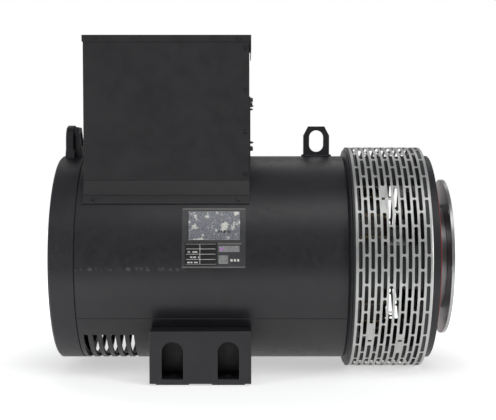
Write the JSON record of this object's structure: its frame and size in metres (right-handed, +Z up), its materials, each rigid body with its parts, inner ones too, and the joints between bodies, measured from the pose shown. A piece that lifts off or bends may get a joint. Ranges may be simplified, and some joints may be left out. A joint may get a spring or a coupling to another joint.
{
  "type": "generator alternator head",
  "caption": "Single-bearing brushless alternator head with terminal box, perforated outlet guard, welded feet, flanged drive end and flexible disc coupling.",
  "frame": {"origin": "on the shaft axis, in the outer face of the coupling discs", "axes": "+X along the shaft out of the drive end, +Z up, -Y towards the labelled side"},
  "size_m": [0.877, 0.5, 0.742],
  "materials": {
    "black_frame_paint": "satin black enamel on rolled steel",
    "black_cast_paint": "satin black enamel over sand-cast iron",
    "black_sheet_paint": "fine-textured black powder coat",
    "zinc_guard_sheet": "bare zinc-plated sheet",
    "core_laminations": "stacked laminations under varnish",
    "varnished_winding": "copper winding under dark resin",
    "machined_steel": "turned steel",
    "spring_steel_discs": "zinc-plated spring steel",
    "zinc_bolts": "bright zinc plate",
    "cast_fan": "black painted cast aluminium",
    "moulded_insulation": "moulded insulation",
    "bearing_steel": "ground and polished",
    "cage_brass": "machined brass",
    "blackened_screws": "black oxide",
    "potting_resin": "potted resin",
    "white_nylon": "moulded nylon",
    "label_film": null
  },
  "bodies": {
    "frame": {"bearing_outer_ring": "bearing_steel", "box_back_panel": "black_sheet_paint", "box_drive_panel": "black_sheet_paint", "box_front_panel": "black_sheet_paint", "box_lid": "black_sheet_paint", "box_rear_panel": "black_sheet_paint", "box_saddle": "black_sheet_paint", "drive_end_frame": "black_cast_paint", "drive_end_lifting_eye": "black_frame_paint", "drive_end_winding": "varnished_winding", "drive_frame_bolts": "blackened_screws", "earth_stud": "zinc_bolts", "exciter_stator": "core_laminations", "far_foot": "black_frame_paint", "gland_bolts": "blackened_screws", "gland_plate": "black_sheet_paint", "gland_studs": "blackened_screws", "lid_screws": "blackened_screws", "main_housing": "black_frame_paint", "near_foot": "black_frame_paint", "outlet_guard": "zinc_guard_sheet", "panel_screws": "blackened_screws", "rating_label": "label_film", "rear_cover": "black_sheet_paint", "rear_cover_screws": "blackened_screws", "rear_end_winding": "varnished_winding", "rear_shield": "black_cast_paint", "rear_shield_bolts": "blackened_screws", "regulator_bracket": "zinc_guard_sheet", "saddle_screws": "blackened_screws", "stator_core": "core_laminations", "stator_core_bars": "core_laminations", "terminal_board": "moulded_insulation", "terminal_nuts": "cage_brass", "terminal_studs": "cage_brass", "terminal_tray": "black_sheet_paint", "voltage_regulator": "potting_resin"},
    "rotor": {"shaft": "machined_steel", "rotor_core": "core_laminations", "rotor_coils": "varnished_winding", "coupling_hub": "machined_steel", "coupling_discs": "spring_steel_discs", "clamp_ring": "machined_steel", "disc_bolts": "zinc_bolts", "fan": "cast_fan", "exciter_armature": "core_laminations", "exciter_windings": "varnished_winding", "rectifier_plate": "moulded_insulation", "rectifier_diodes": "zinc_bolts", "bearing_inner_ring": "bearing_steel"},
    "ball_cage": {"bearing_balls": "bearing_steel", "bearing_cage": "cage_brass"},
    "voltage_trimmer": {"voltage_trimmer": "white_nylon"},
    "stability_trimmer": {"stability_trimmer": "white_nylon"}
  },
  "joints": [
    {"name": "rotor_spin", "type": "hinge", "parent": "frame", "child": "rotor", "pos_m": [0, 0, 0], "axis": [1, 0, 0], "continuous": true},
    {"name": "ball_cage_spin", "type": "hinge", "parent": "frame", "child": "ball_cage", "pos_m": [-0.8345, 0, 0], "axis": [1, 0, 0], "continuous": true},
    {"name": "voltage_trim", "type": "hinge", "parent": "frame", "child": "voltage_trimmer", "pos_m": [-0.569, 0.099, 0.385], "axis": [0, -1, 0], "range_deg": [-135, 135]},
    {"name": "stability_trim", "type": "hinge", "parent": "frame", "child": "stability_trimmer", "pos_m": [-0.539, 0.099, 0.385], "axis": [0, -1, 0], "range_deg": [-135, 135]}
  ],
  "couplings": [
    {"joint": "ball_cage_spin", "follows": "rotor_spin", "ratio": 0.387}
  ]
}
